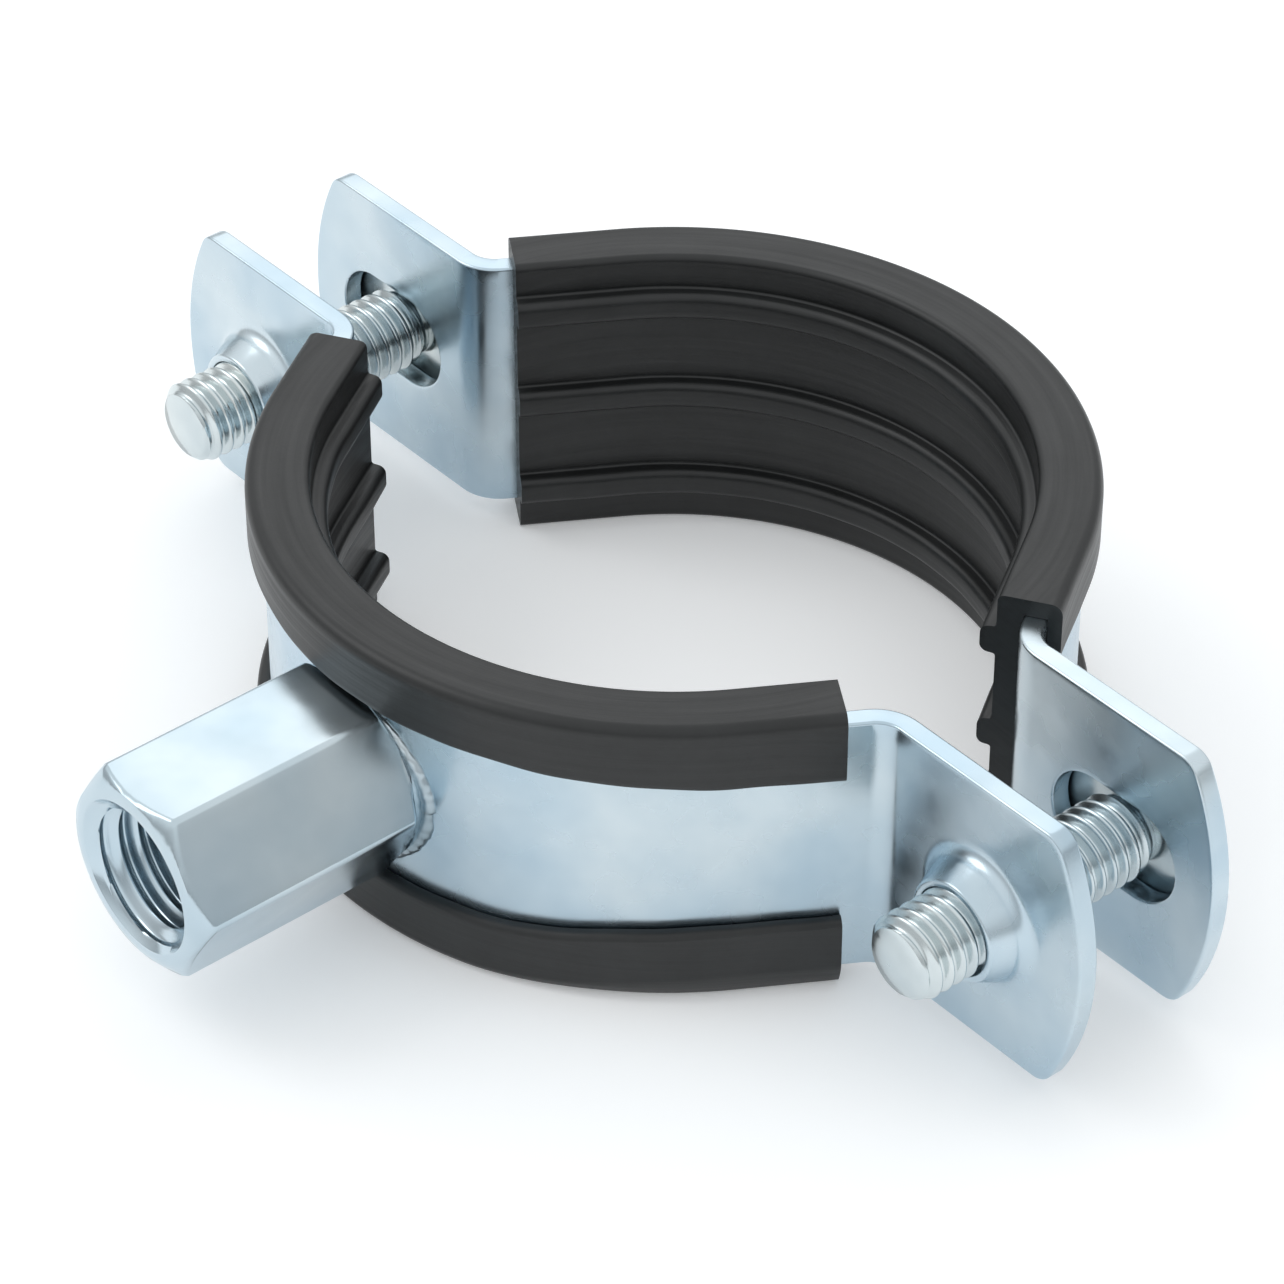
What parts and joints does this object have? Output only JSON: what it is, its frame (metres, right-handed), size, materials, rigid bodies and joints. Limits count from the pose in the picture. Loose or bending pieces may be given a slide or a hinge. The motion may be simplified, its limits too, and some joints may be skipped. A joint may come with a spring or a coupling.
{
  "type": "rubber lined pipe clamp",
  "caption": "Split clamp of bent zinc plated band with ribbed rubber liners, drawn together by two screws, with a hexagon boss for a threaded rod.",
  "frame": {"origin": "on the pipe's axis, halfway along the clamp, where both half rings share one centre", "axes": "+Z along the pipe, +X from the left ear to the right ear, +Y from the boss to the rear half, along the screws"},
  "size_m": [0.0918, 0.073, 0.0226],
  "materials": {
    "zinc_sheet": "bright zinc plated sheet steel, satin, with sheared edges",
    "rubber": "matt black EPDM rubber, extruded",
    "zinc_bar": "bright zinc plated hexagon bar, turned at both ends",
    "weld_metal": "small zinc plated weld bead",
    "zinc_screw": "zinc plated screw, rolled thread"
  },
  "bodies": {
    "front_half": {"front_strap": "zinc_sheet", "front_liner": "rubber", "hex_boss": "zinc_bar", "boss_weld": "weld_metal"},
    "rear_half": {"rear_strap": "zinc_sheet", "rear_liner": "rubber"},
    "left_screw": {"left_screw": "zinc_screw"},
    "right_screw": {"right_screw": "zinc_screw"}
  },
  "joints": [
    {"name": "rear_half_slide", "type": "slide", "parent": "front_half", "child": "rear_half", "axis": [0, 1, 0], "range_m": [-0.0095, 0.004]},
    {"name": "left_screw_turn", "type": "hinge", "parent": "rear_half", "child": "left_screw", "pos_m": [-0.03704, 0, 0], "axis": [0, 1, 0], "range_deg": [-3421, 1441]},
    {"name": "right_screw_turn", "type": "hinge", "parent": "rear_half", "child": "right_screw", "pos_m": [0.03704, 0, 0], "axis": [0, 1, 0], "range_deg": [-3421, 1441]}
  ],
  "couplings": [
    {"joint": "left_screw_turn", "follows": "rear_half_slide", "rad_per_m": 6283.2},
    {"joint": "right_screw_turn", "follows": "rear_half_slide", "rad_per_m": 6283.2}
  ]
}
